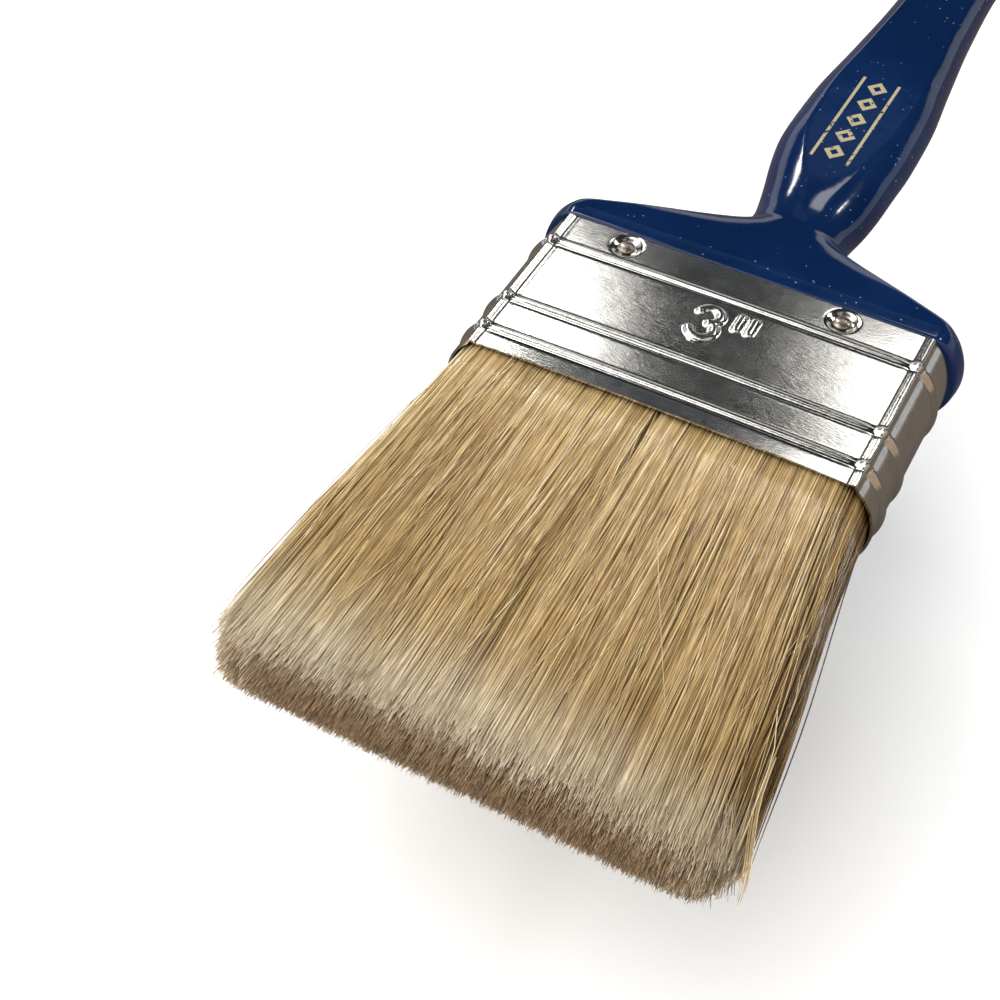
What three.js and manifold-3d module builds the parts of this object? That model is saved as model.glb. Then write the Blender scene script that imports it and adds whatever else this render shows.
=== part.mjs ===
// A three-inch flat paint brush: a lacquered wooden handle, a plated steel ferrule nailed round its
// tenon, and a pack of hog bristle set in epoxy round two wooden plugs.
//
// Millimetres. While it is built, X runs across the width, +Y from the ferrule's mouth to the handle's
// end, and +Z out of the front broad face, with Y = 0 at the mouth and Z = 0 on the mid plane.
// The finished brush lies on its back face, with the origin under the middle of its bounding box.

import * as THREE from 'three';
import { mergeVertices } from 'three/addons/utils/BufferGeometryUtils.js';
import Module from 'manifold-3d';

// Ferrule: a band with two flat broad faces and two bowed narrow sides.
const bandHalfWidth = 38.5;
const bandHalfFlat = 34;
const bandHalfThickness = 9.5;
const ferruleHeight = 37.5;
const ferruleWall = 0.45;
const beadCentres = [4.8, 13, 29.9];
const beadHeight = 0.5;
const grooveDepth = 0.2;
const ridgeHeight = 0.4;
const ridgeHalfWidth = 0.8;

// Size mark raised on the front face.
const markCentre = [1.2, 22.6];
const markStroke = 1.6;
const markHeight = 0.4;

// Nails that hold the ferrule to the tenon, each in its own dimple.
const nailX = 20.2;
const nailShift = -1.2;
const nailY = 34.4;
const nailHeadRadius = 1.6;
const nailHeadHeight = 0.7;
const nailShankRadius = 0.65;
const nailLength = 7.5;
const dimpleRadius = 3.2;
const dimpleDepth = 0.7;

// What the ferrule holds, from the mouth up. Everything inside it is inset from the band.
const inset = -1;
const gap = 0.3;
const rootsStart = 4.4;
const rootsEnd = 21;
const plugStart = 7;
const plugHalfThickness = 2.2;
const plugWidth = 26;
const plugX = 16.5;
const epoxyEnd = 24.6;

// Bristles outside the ferrule: half width and half thickness at each distance from the mouth.
const trimLength = 72;
const packSections = [
  { y: -20, width: 39.6, thickness: 8.1 },
  { y: -38, width: 41.6, thickness: 7.4 },
  { y: -55, width: 42.6, thickness: 6.7 },
  { y: -64, width: 41.8, thickness: 6.2 },
  { y: -69.5, width: 38.6, thickness: 5.2 },
  { y: -trimLength, width: 34.5, thickness: 3.4 },
];
const flexY = -4.6;

// Handle: half width and half thickness along its length, from the shoulder to the rounded end.
const handleEnd = 200;
const handleSections = [
  [39.5, 9.6, ferruleHeight + gap],
  [39.9, 9.5, 40.8],
  [39.2, 9.2, 43.1],
  [34.0, 8.8, 45.9],
  [26.0, 8.4, 49.8],
  [18.0, 7.9, 53.7],
  [12.2, 7.5, 56.8],
  [9.9, 7.2, 59.2],
  [9.6, 7.1, 63],
  [10.7, 7.4, 70],
  [12.2, 8.0, 80],
  [13.1, 8.6, 91],
  [12.9, 8.6, 103],
  [11.3, 7.9, 120],
  [9.6, 7.0, 140],
  [8.9, 6.3, 158],
  [9.4, 6.0, 173],
  [10.6, 5.9, 185],
  [9.6, 5.4, 193],
  [6.2, 4.2, 198.2],
  [1.4, 1.4, handleEnd],
];
const shoulderTop = 44;
const neckY = 60;
const neckDrift = 1.2;
const driftEnds = [68, 88];
const facetStartY = 75;
const facetStartZ = 7.2;
const facetSlope = 0.028;
const hangHoleY = 185;
const hangHoleRadius = 4;

// The bowed sides are arcs through the flat faces' corners.
const bulge = bandHalfWidth - bandHalfFlat;
const sideRadius = (bandHalfThickness ** 2 + bulge ** 2) / (2 * bulge);
const sideCentre = bandHalfWidth - sideRadius;
const sideSteps = 8;

const wasm = await Module();
wasm.setup();

function solidOf(geometry) {
  const bare = geometry.clone();
  bare.deleteAttribute('normal');
  bare.deleteAttribute('uv');
  const merged = mergeVertices(bare, 1e-5);
  const mesh = new wasm.Mesh({
    numProp: 3,
    vertProperties: new Float32Array(merged.attributes.position.array),
    triVerts: new Uint32Array(merged.index.array),
  });
  return new wasm.Manifold(mesh);
}

function geometryOf(solid) {
  const mesh = solid.getMesh();
  const geometry = new THREE.BufferGeometry();
  geometry.setAttribute('position', new THREE.BufferAttribute(new Float32Array(mesh.vertProperties), 3));
  geometry.setIndex(new THREE.BufferAttribute(new Uint32Array(mesh.triVerts), 1));
  geometry.computeVertexNormals();
  return geometry;
}

function boxSolid(from, to) {
  const geometry = new THREE.BoxGeometry(to[0] - from[0], to[1] - from[1], to[2] - from[2]);
  geometry.translate((from[0] + to[0]) / 2, (from[1] + to[1]) / 2, (from[2] + to[2]) / 2);
  return solidOf(geometry);
}

// A closed skin over rings of points that follow one another along +Y. Each ring runs from +X to +Z.
function loft(rings) {
  const count = rings[0].length;
  const positions = rings.flat().flatMap((p) => [p.x, p.y, p.z]);
  const index = [];
  for (let ring = 0; ring + 1 < rings.length; ring++) {
    for (let j = 0; j < count; j++) {
      const a = ring * count + j;
      const b = ring * count + (j + 1) % count;
      index.push(a, a + count, b + count, a, b + count, b);
    }
  }
  const last = (rings.length - 1) * count;
  for (let j = 1; j + 1 < count; j++) {
    index.push(0, j, j + 1);
    index.push(last, last + j + 1, last + j);
  }
  const geometry = new THREE.BufferGeometry();
  geometry.setAttribute('position', new THREE.Float32BufferAttribute(positions, 3));
  geometry.setIndex(index);
  return solidOf(geometry);
}

// The band's outline, as [x, z] points, moved outwards by grow. A ridge lifts its four corners.
function bandOutline({ grow = 0, ridge = 0, flatSteps = 1 } = {}) {
  const radius = sideRadius + grow;
  const half = bandHalfThickness + grow;
  const reach = Math.asin(half / radius);
  const quarter = [];
  for (let k = 0; k <= sideSteps; k++) {
    const angle = reach * Math.sin((Math.PI / 2) * (2 * k / sideSteps - 1));
    quarter.push([sideCentre + radius * Math.cos(angle), radius * Math.sin(angle)]);
  }
  const cornerX = quarter[0][0];
  quarter[0][1] -= ridge;
  quarter[sideSteps][1] += ridge;
  const flatEnd = cornerX - ridgeHalfWidth;
  for (let k = 0; k < flatSteps; k++) {
    quarter.push([flatEnd * (1 - 2 * k / flatSteps), half]);
  }
  quarter.push([-flatEnd, half]);
  const opposite = quarter.map(([x, z]) => [-x, -z]);
  return [...quarter, ...opposite];
}

function ringAt(y, outline, scaleX = 1, scaleZ = 1) {
  return outline.map(([x, z]) => new THREE.Vector3(x * scaleX, y, z * scaleZ));
}

function bandPrism(from, to) {
  const outline = bandOutline({ grow: inset });
  return loft([ringAt(from, outline), ringAt(to, outline)]);
}

// How far the ferrule's sheet stands out along its height: three beads, each with a groove on its mouth side.
function ferruleProfile() {
  const profile = [[0, 0]];
  for (const centre of beadCentres) {
    profile.push([centre - 1.7, 0]);
    profile.push([centre - 1.0, -grooveDepth]);
    profile.push([centre - 0.4, 0.6 * beadHeight]);
    profile.push([centre, beadHeight]);
    profile.push([centre + 0.5, 0.6 * beadHeight]);
    profile.push([centre + 0.9, 0]);
  }
  profile.push([ferruleHeight, 0]);
  return profile;
}

// A shallow round dish about Z, sunk to dimpleDepth below z = 0 and open above it.
function dishSolid() {
  const profile = [[0, -1], [0.45, -0.92], [0.75, -0.62], [1, 0], [1.1, 0.4]];
  const points = profile.map(([r, z]) => new THREE.Vector2(r * dimpleRadius, z * dimpleDepth));
  points.push(new THREE.Vector2(dimpleRadius * 1.1, 3));
  points.push(new THREE.Vector2(0, 3));
  const geometry = new THREE.LatheGeometry(points, 16);
  geometry.rotateX(Math.PI / 2);
  return solidOf(geometry);
}

function shankSolid(radius, depth) {
  const geometry = new THREE.CylinderGeometry(radius, radius, depth + 3, 12);
  geometry.rotateX(Math.PI / 2);
  geometry.translate(0, 0, (3 - depth) / 2);
  return solidOf(geometry);
}

// Puts a solid that stands on the front face at each nail, and its mirror on the back.
function atNail(solid, side, face, sink = 0) {
  const placed = solid.translate([side * nailX + nailShift, nailY, bandHalfThickness - sink]);
  return face > 0 ? placed : placed.rotate([0, 180, 0]);
}

function nailPlaces() {
  const places = [];
  for (const face of [1, -1]) {
    for (const side of [-1, 1]) {
      places.push({ face, side });
    }
  }
  return places;
}

// One stroke of the size mark's numeral: part of a ring, from one angle to another in degrees.
function ringStroke(x, y, radius, from, to) {
  const start = THREE.MathUtils.degToRad(from);
  const end = THREE.MathUtils.degToRad(to);
  const shape = new THREE.Shape();
  shape.absarc(x, y, radius + markStroke / 2, start, end, false);
  shape.absarc(x, y, radius - markStroke / 2, end, start, true);
  return shape;
}

function barStroke(x, y, width, height) {
  const shape = new THREE.Shape();
  shape.moveTo(x - width / 2, y - height / 2);
  shape.lineTo(x + width / 2, y - height / 2);
  shape.lineTo(x + width / 2, y + height / 2);
  shape.lineTo(x - width / 2, y + height / 2);
  return shape;
}

// The nominal width in inches, a plain 3 with an inch mark, as a raised pressing.
function sizeMarkSolid() {
  const strokes = [
    ringStroke(-2.3, 1.9, 1.9, -70, 165),
    ringStroke(-2.3, -1.7, 2.1, -165, 75),
    barStroke(2.8, 2.5, 1.2, 3.7),
    barStroke(5.1, 2.5, 1.2, 3.7),
  ];
  const sunk = ferruleWall / 2;
  const raised = strokes.map((shape) => {
    const geometry = new THREE.ExtrudeGeometry(shape, {
      depth: markHeight / 2 + sunk,
      bevelThickness: markHeight / 2,
      bevelSize: 0.15,
      bevelOffset: -0.15,
      bevelSegments: 1,
      curveSegments: 9,
    });
    geometry.translate(markCentre[0], markCentre[1], bandHalfThickness - sunk);
    return solidOf(geometry);
  });
  return raised.reduce((all, one) => all.add(one));
}

function ferruleSolid() {
  const profile = ferruleProfile();
  const rings = profile.map(([y, grow]) => ringAt(y, bandOutline({ grow, ridge: ridgeHeight })));
  let outside = loft(rings);
  const hollowRings = profile.map(([y, grow]) => {
    const outline = bandOutline({ grow: grow - ferruleWall, ridge: ridgeHeight });
    return ringAt(y, outline);
  });
  hollowRings.unshift(hollowRings[0].map((p) => p.clone().setY(-1)));
  hollowRings.push(hollowRings[hollowRings.length - 1].map((p) => p.clone().setY(ferruleHeight + 1)));
  let hollow = loft(hollowRings);
  const dish = dishSolid();
  const hole = shankSolid(nailShankRadius + gap, 3);
  for (const { side, face } of nailPlaces()) {
    outside = outside.subtract(atNail(dish, side, face));
    hollow = hollow.subtract(atNail(dish, side, face, ferruleWall));
  }
  let shell = outside.subtract(hollow);
  for (const { side, face } of nailPlaces()) {
    shell = shell.subtract(atNail(hole, side, face));
  }
  return shell.add(sizeMarkSolid());
}

// The handle's outline turns from the band's shape at the shoulder to an ellipse at the neck.
function handleRing(width, thickness, y) {
  const outline = bandOutline({ flatSteps: 6 });
  const roundness = THREE.MathUtils.smoothstep(y, shoulderTop, neckY);
  const drift = neckDrift * roundness * (1 - THREE.MathUtils.smoothstep(y, ...driftEnds));
  return outline.map(([x, z]) => {
    const u = x / bandHalfWidth;
    const v = z / bandHalfThickness;
    const length = Math.hypot(u, v);
    const px = THREE.MathUtils.lerp(u, u / length, roundness);
    const pz = THREE.MathUtils.lerp(v, v / length, roundness);
    return new THREE.Vector3(px * width + drift, y, pz * thickness);
  });
}

// The waste beyond the flat facet that runs along one broad side of the grip.
function facetWaste(face) {
  const length = handleEnd - facetStartY;
  const geometry = new THREE.BoxGeometry(60, 2 * length, 40);
  geometry.translate(0, 0, 20);
  geometry.rotateX(-Math.atan(facetSlope));
  geometry.translate(0, facetStartY, facetStartZ);
  return solidOf(face > 0 ? geometry : geometry.rotateY(Math.PI));
}

function handleSolid() {
  const points = handleSections.map(([width, thickness, y]) => new THREE.Vector3(width, y, thickness));
  const curve = new THREE.CatmullRomCurve3(points);
  const samples = curve.getPoints(2 * (points.length - 1));
  let solid = loft(samples.map((p) => handleRing(p.x, p.z, p.y)));
  const grip = boxSolid([-60, facetStartY - 12, -60], [60, handleEnd + 1, 60]);
  for (const face of [1, -1]) {
    solid = solid.subtract(facetWaste(face).intersect(grip));
  }
  solid = solid.add(bandPrism(epoxyEnd + gap, ferruleHeight + 2 * gap));
  const dish = dishSolid();
  const hole = shankSolid(nailShankRadius + gap, nailLength + 2 * gap);
  const tenon = boxSolid([-60, 0, -60], [60, ferruleHeight + gap / 2, 60]);
  for (const { side, face } of nailPlaces()) {
    const pocket = atNail(dish, side, face, ferruleWall + 1.2 * gap);
    solid = solid.subtract(pocket.intersect(tenon));
    solid = solid.subtract(atNail(hole, side, face));
  }
  return solid.subtract(hangHoleSolid());
}

function hangHoleSolid() {
  const geometry = new THREE.CylinderGeometry(hangHoleRadius, hangHoleRadius, 40, 28);
  geometry.rotateX(Math.PI / 2);
  geometry.translate(0, hangHoleY, 0);
  return solidOf(geometry);
}

// A round-headed nail about Z: the head's underside is level with the dimple's floor plus a gap.
function nailSolid() {
  const seat = -dimpleDepth + gap;
  const profile = [[0, -nailLength]];
  profile.push([nailShankRadius, -nailLength + 1.5]);
  profile.push([nailShankRadius, seat]);
  for (let k = 0; k < 5; k++) {
    const angle = (Math.PI / 2) * (k / 5);
    profile.push([nailHeadRadius * Math.cos(angle), seat + nailHeadHeight * Math.sin(angle)]);
  }
  profile.push([0, seat + nailHeadHeight]);
  const geometry = new THREE.LatheGeometry(profile.map(([r, z]) => new THREE.Vector2(r, z)), 16);
  geometry.rotateX(Math.PI / 2);
  return solidOf(geometry);
}

function plugBox(side, extra) {
  const x = side * plugX;
  const half = plugWidth / 2 + extra;
  const z = plugHalfThickness + extra;
  return boxSolid([x - half, plugStart - extra, -z], [x + half, rootsEnd, z]);
}

// The layer of a solid on one side of the mid plane, half a gap clear of it.
function bankOf(solid, face) {
  const near = face > 0 ? gap / 2 : -60;
  const far = face > 0 ? 60 : -gap / 2;
  return solid.intersect(boxSolid([-60, -120, near], [60, 60, far]));
}

function rootsSolid(face) {
  let roots = bankOf(bandPrism(rootsStart, rootsEnd), face);
  for (const side of [-1, 1]) {
    roots = roots.subtract(plugBox(side, gap));
  }
  return roots;
}

// The round inner end on which the free bristles turn: the band's outline spun about the flex axis.
function knuckleSolid() {
  const outline = bandOutline({ grow: inset }).filter(([, z]) => z >= 0);
  outline.sort((a, b) => a[0] - b[0]);
  const profile = outline.map(([x, z]) => new THREE.Vector2(z, x));
  const geometry = new THREE.LatheGeometry(profile, 32);
  geometry.rotateZ(-Math.PI / 2);
  geometry.translate(0, flexY, 0);
  return solidOf(geometry);
}

function freePackSolid() {
  const outline = bandOutline({ grow: inset });
  const insetWidth = bandHalfWidth + inset;
  const insetThickness = bandHalfThickness + inset;
  const rings = [ringAt(flexY + 0.8, bandOutline({ grow: inset - 0.25 }))];
  for (const { y, width, thickness } of packSections) {
    rings.unshift(ringAt(y, outline, width / insetWidth, thickness / insetThickness));
  }
  return loft(rings).add(knuckleSolid());
}

const lacquer = { color: 0x0b2d6b, roughness: 0.18, metalness: 0 };
const platedSteel = { color: 0xc9c8c2, roughness: 0.28, metalness: 1 };
const nailSteel = { color: 0xd2cfc6, roughness: 0.25, metalness: 1 };
const hogBristle = { color: 0xc4a470, roughness: 0.6, metalness: 0 };
const rootBristle = { color: 0xa98755, roughness: 0.7, metalness: 0 };
const plugWood = { color: 0xb98f5c, roughness: 0.8, metalness: 0 };
const amberEpoxy = { color: 0x8a6a2c, roughness: 0.35, metalness: 0 };

const brush = new THREE.Group();
brush.name = 'paint_brush';

function addPart(name, solid, look) {
  const mesh = new THREE.Mesh(geometryOf(solid), new THREE.MeshStandardMaterial(look));
  mesh.name = name;
  brush.add(mesh);
}

addPart('handle', handleSolid(), lacquer);
addPart('ferrule', ferruleSolid(), platedSteel);
const nail = nailSolid();
for (const { side, face } of nailPlaces()) {
  const name = `nail_${face > 0 ? 'front' : 'back'}_${side < 0 ? 'left' : 'right'}`;
  addPart(name, atNail(nail, side, face), nailSteel);
}
addPart('epoxy_setting', bandPrism(rootsEnd + gap, epoxyEnd), amberEpoxy);
addPart('plug_left', plugBox(-1, 0), plugWood);
addPart('plug_right', plugBox(1, 0), plugWood);
addPart('bristle_roots_front', rootsSolid(1), rootBristle);
addPart('bristle_roots_back', rootsSolid(-1), rootBristle);
const freePack = freePackSolid();
addPart('bristles_front', bankOf(freePack, 1), hogBristle);
addPart('bristles_back', bankOf(freePack, -1), hogBristle);

// On the table: the ridges' crossings with the beads touch Z = 0, and the length is centred on Y = 0.
const restHeight = bandHalfThickness + beadHeight + ridgeHeight;
brush.position.set(0, (trimLength - handleEnd) / 2, restHeight);

const model = new THREE.Group();
model.add(brush);
model.updateMatrixWorld(true);

export default model;
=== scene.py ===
"""Paint brush: fine surfaces, natural bristle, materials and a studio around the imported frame."""
import math

import bpy
import numpy as np
from mathutils import Matrix, Vector


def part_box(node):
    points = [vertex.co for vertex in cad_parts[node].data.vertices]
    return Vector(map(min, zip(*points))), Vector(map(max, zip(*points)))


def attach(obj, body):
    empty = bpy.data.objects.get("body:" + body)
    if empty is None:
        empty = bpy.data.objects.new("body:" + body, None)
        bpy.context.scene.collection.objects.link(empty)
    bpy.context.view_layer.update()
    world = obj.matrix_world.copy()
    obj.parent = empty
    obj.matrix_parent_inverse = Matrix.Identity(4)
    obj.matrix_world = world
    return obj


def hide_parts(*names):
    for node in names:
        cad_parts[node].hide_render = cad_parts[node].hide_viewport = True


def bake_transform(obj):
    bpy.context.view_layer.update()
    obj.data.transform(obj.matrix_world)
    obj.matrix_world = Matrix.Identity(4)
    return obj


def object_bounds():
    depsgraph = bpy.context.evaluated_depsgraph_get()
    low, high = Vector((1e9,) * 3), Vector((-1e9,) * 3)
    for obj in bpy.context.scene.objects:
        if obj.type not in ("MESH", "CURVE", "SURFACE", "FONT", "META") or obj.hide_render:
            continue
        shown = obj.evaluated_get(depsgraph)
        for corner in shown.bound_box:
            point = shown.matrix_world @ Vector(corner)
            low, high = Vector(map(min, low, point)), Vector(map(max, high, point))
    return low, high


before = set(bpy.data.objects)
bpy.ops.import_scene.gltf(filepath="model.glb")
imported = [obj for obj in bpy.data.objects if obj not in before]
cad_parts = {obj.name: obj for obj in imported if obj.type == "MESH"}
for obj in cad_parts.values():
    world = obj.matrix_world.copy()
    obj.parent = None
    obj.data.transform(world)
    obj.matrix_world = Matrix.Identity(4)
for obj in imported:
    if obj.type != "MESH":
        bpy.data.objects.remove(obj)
cad_low, cad_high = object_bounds()
scene = bpy.context.scene
MM = 0.001

# Brush coordinates are in millimetres from the middle of the ferrule's mouth:
# X across the width, +Y to the handle's end, +Z out of the front face.
ferrule_low, ferrule_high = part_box("ferrule")
handle_low, handle_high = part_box("handle")
mouth = Vector((
    (ferrule_low.x + ferrule_high.x) / 2,
    ferrule_low.y,
    (ferrule_low.z + ferrule_high.z) / 2,
))


def at(x, y, z):
    """A point in brush millimetres as a point in the frame, in metres."""
    return mouth + Vector((x, y, z)) * MM


# ---------------------------------------------------------------- camera
# Place in brush millimetres, angles in degrees, lens in millimetres.
CAMERA_AT = (67.89, -180.73, 204.65)
CAMERA_AZIMUTH = 27.93
CAMERA_ELEVATION = 48.61
CAMERA_ROLL = 0.62
CAMERA_LENS = 61.2


def add_camera():
    a, e, r = (math.radians(v) for v in (CAMERA_AZIMUTH, CAMERA_ELEVATION, CAMERA_ROLL))
    back = Vector((math.sin(a) * math.cos(e), -math.cos(a) * math.cos(e), math.sin(e)))
    right = Vector((math.cos(a), math.sin(a), 0))
    up = back.cross(right)
    side = right * math.cos(r) + up * math.sin(r)
    top = up * math.cos(r) - right * math.sin(r)
    data = bpy.data.cameras.new("camera")
    data.lens = CAMERA_LENS
    data.clip_start = 0.01
    camera = bpy.data.objects.new("camera", data)
    scene.collection.objects.link(camera)
    camera.location = at(*CAMERA_AT)
    camera.rotation_mode = "QUATERNION"
    camera.rotation_quaternion = Matrix((side, top, back)).transposed().to_quaternion()
    scene.camera = camera


add_camera()

# ---------------------------------------------------------------- sizes
# In brush millimetres.
BAND_HALF_WIDTH = 38.5
BAND_HALF_FLAT = 34.0
BAND_HALF_THICKNESS = 9.5
FERRULE_HEIGHT = (ferrule_high.y - ferrule_low.y) / MM
FERRULE_WALL = 0.45
BEAD_CENTRES = (4.8, 13.0, 29.9)
NAIL_X = 20.2
NAIL_SHIFT = -1.2
NAIL_Y = 34.4
DIMPLE_RADIUS = 3.2
DIMPLE_DEPTH = 0.7
MARK_CENTRE = (1.2, 22.6)
HANDLE_END = (handle_high.y - mouth.y) / MM
BULGE = BAND_HALF_WIDTH - BAND_HALF_FLAT
SIDE_RADIUS = (BAND_HALF_THICKNESS**2 + BULGE**2) / (2 * BULGE)
SIDE_CENTRE = BAND_HALF_WIDTH - SIDE_RADIUS
SIDE_REACH = math.asin(BAND_HALF_THICKNESS / SIDE_RADIUS)
SIDE_LENGTH = 2 * SIDE_REACH * SIDE_RADIUS
FLAT_LENGTH = 2 * BAND_HALF_FLAT
HALF_BAND = FLAT_LENGTH + SIDE_LENGTH
BAND_LENGTH = 2 * HALF_BAND
CORNER_REACH = 3.0


# ---------------------------------------------------------------- curves
def smoothstep(x, low, high):
    t = np.clip((np.asarray(x, float) - low) / (high - low), 0, 1)
    return t * t * (3 - 2 * t)


def bump(x, centre, half_width):
    return np.exp(-(((np.asarray(x, float) - centre) / half_width) ** 2))


def monotone(x, xs, ys):
    """Shape-preserving cubic through the points, with xs rising."""
    xs, ys = np.asarray(xs, float), np.asarray(ys, float)
    step = np.diff(xs)
    slope = np.diff(ys) / step
    tangent = np.zeros_like(ys)
    tangent[0], tangent[-1] = slope[0], slope[-1]
    for k in range(1, len(xs) - 1):
        if slope[k - 1] * slope[k] > 0:
            a = 2 * step[k] + step[k - 1]
            b = step[k] + 2 * step[k - 1]
            tangent[k] = (a + b) / (a / slope[k - 1] + b / slope[k])
    x = np.clip(np.asarray(x, float), xs[0], xs[-1])
    k = np.clip(np.searchsorted(xs, x) - 1, 0, len(step) - 1)
    t = (x - xs[k]) / step[k]
    return (
        ys[k] * (2 * t**3 - 3 * t**2 + 1)
        + tangent[k] * step[k] * (t**3 - 2 * t**2 + t)
        + ys[k + 1] * (3 * t**2 - 2 * t**3)
        + tangent[k + 1] * step[k] * (t**3 - t**2)
    )


def spaced(*zones):
    """Rising values through zones of (start, end, step), without repeats."""
    values = []
    for start, end, step in zones:
        count = max(1, round((end - start) / step))
        values.extend(np.linspace(start, end, count + 1)[:-1])
    values.append(zones[-1][1])
    return np.array(values)


def band_point(s):
    """The band's outline by length along it, from the front face's left corner towards the right one."""
    s = np.mod(s, BAND_LENGTH)
    front = s < HALF_BAND
    along = np.where(front, s, s - HALF_BAND)
    on_flat = along < FLAT_LENGTH
    angle = SIDE_REACH - (along - FLAT_LENGTH) / SIDE_RADIUS
    x = np.where(on_flat, along - BAND_HALF_FLAT, SIDE_CENTRE + SIDE_RADIUS * np.cos(angle))
    z = np.where(on_flat, BAND_HALF_THICKNESS, SIDE_RADIUS * np.sin(angle))
    sign = np.where(front, 1, -1)
    return x * sign, z * sign


def smooth_band(softness, samples=6000):
    """Length, x, z and outward normal of the band's outline with its corners softened."""
    s = np.linspace(0, BAND_LENGTH, samples, endpoint=False)
    x, z = band_point(s)
    gap = np.minimum(s, BAND_LENGTH - s)
    kernel = np.exp(-((gap / softness) ** 2) / 2)
    kernel /= kernel.sum()
    x, z = (np.real(np.fft.ifft(np.fft.fft(v) * np.fft.fft(kernel))) for v in (x, z))
    dx, dz = np.gradient(x), np.gradient(z)
    dx[0], dx[-1] = x[1] - x[0], x[-1] - x[-2]
    dz[0], dz[-1] = z[1] - z[0], z[-1] - z[-2]
    length = np.hypot(dx, dz)
    return s, x, z, -dz / length, dx / length


def outline_reach(phi, x, z):
    """An outline's radius at each angle, with the band's half width and half thickness as its units."""
    u, v = x / BAND_HALF_WIDTH, z / BAND_HALF_THICKNESS
    angle = np.mod(np.arctan2(v, u), 2 * math.pi)
    order = np.argsort(angle)
    return np.interp(phi, angle[order], np.hypot(u, v)[order], period=2 * math.pi)


# ---------------------------------------------------------------- meshes
def add_mesh(name, vertices, quads, triangles=()):
    """A mesh object from vertices in brush millimetres."""
    vertices = np.asarray(vertices, float).reshape(-1, 3) * MM + np.array(mouth)
    quads = np.asarray(quads, np.int32).reshape(-1, 4)
    triangles = np.asarray(triangles, np.int32).reshape(-1, 3)
    mesh = bpy.data.meshes.new(name)
    mesh.vertices.add(len(vertices))
    mesh.vertices.foreach_set("co", vertices.astype(np.float32).ravel())
    loops = np.concatenate([quads.ravel(), triangles.ravel()])
    sizes = np.concatenate([np.full(len(quads), 4), np.full(len(triangles), 3)])
    starts = np.concatenate([[0], np.cumsum(sizes)[:-1]])
    mesh.loops.add(len(loops))
    mesh.loops.foreach_set("vertex_index", loops.astype(np.int32))
    mesh.polygons.add(len(sizes))
    mesh.polygons.foreach_set("loop_start", starts.astype(np.int32))
    mesh.update(calc_edges=True)
    mesh.validate()
    mesh.shade_smooth()
    obj = bpy.data.objects.new(name, mesh)
    scene.collection.objects.link(obj)
    return obj


def grid_quads(rows, columns, rows_close=False):
    """Faces of a grid that closes around its columns, and around its rows if asked."""
    r = np.arange(rows if rows_close else rows - 1)
    c = np.arange(columns)
    a = (r[:, None] * columns + c[None, :]).ravel()
    b = (r[:, None] * columns + (c[None, :] + 1) % columns).ravel()
    up = ((r + 1) % rows)[:, None] * columns
    d = (up + c[None, :]).ravel()
    e = (up + (c[None, :] + 1) % columns).ravel()
    return np.stack([a, b, e, d], axis=1)


def fan(ring, centre):
    """Triangles that close a ring of vertex numbers to a centre vertex."""
    return np.stack([np.full(len(ring), centre), ring, np.roll(ring, -1)], axis=1)


def add_loft(name, rings, first_end, last_end):
    """A closed skin over rings of points, with each end closed to a middle point."""
    columns = len(rings[0])
    first = np.arange(columns)
    last = first + (len(rings) - 1) * columns
    middle = len(rings) * columns
    ends = np.concatenate([fan(first, middle), fan(last, middle + 1)])
    vertices = np.concatenate([*rings, [first_end, last_end]])
    return add_mesh(name, vertices, grid_quads(len(rings), columns), ends)


def turned_rings(profile, x, y, steps):
    """Rings about Z through (x, y), one for each (radius, z) of the profile."""
    around = np.linspace(0, 2 * math.pi, steps, endpoint=False)
    return [
        np.stack([x + r * np.cos(around), y + r * np.sin(around), np.full(steps, z)], -1)
        for r, z in profile
    ]


def fix_normals(obj, sharp_degrees):
    """Outward normals, and sharp edges above the angle."""
    bpy.context.view_layer.objects.active = obj
    for other in bpy.context.selected_objects:
        other.select_set(False)
    obj.select_set(True)
    bpy.ops.object.mode_set(mode="EDIT")
    bpy.ops.mesh.select_all(action="SELECT")
    bpy.ops.mesh.normals_make_consistent(inside=False)
    bpy.ops.object.mode_set(mode="OBJECT")
    obj.data.set_sharp_from_angle(angle=math.radians(sharp_degrees))


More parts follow.
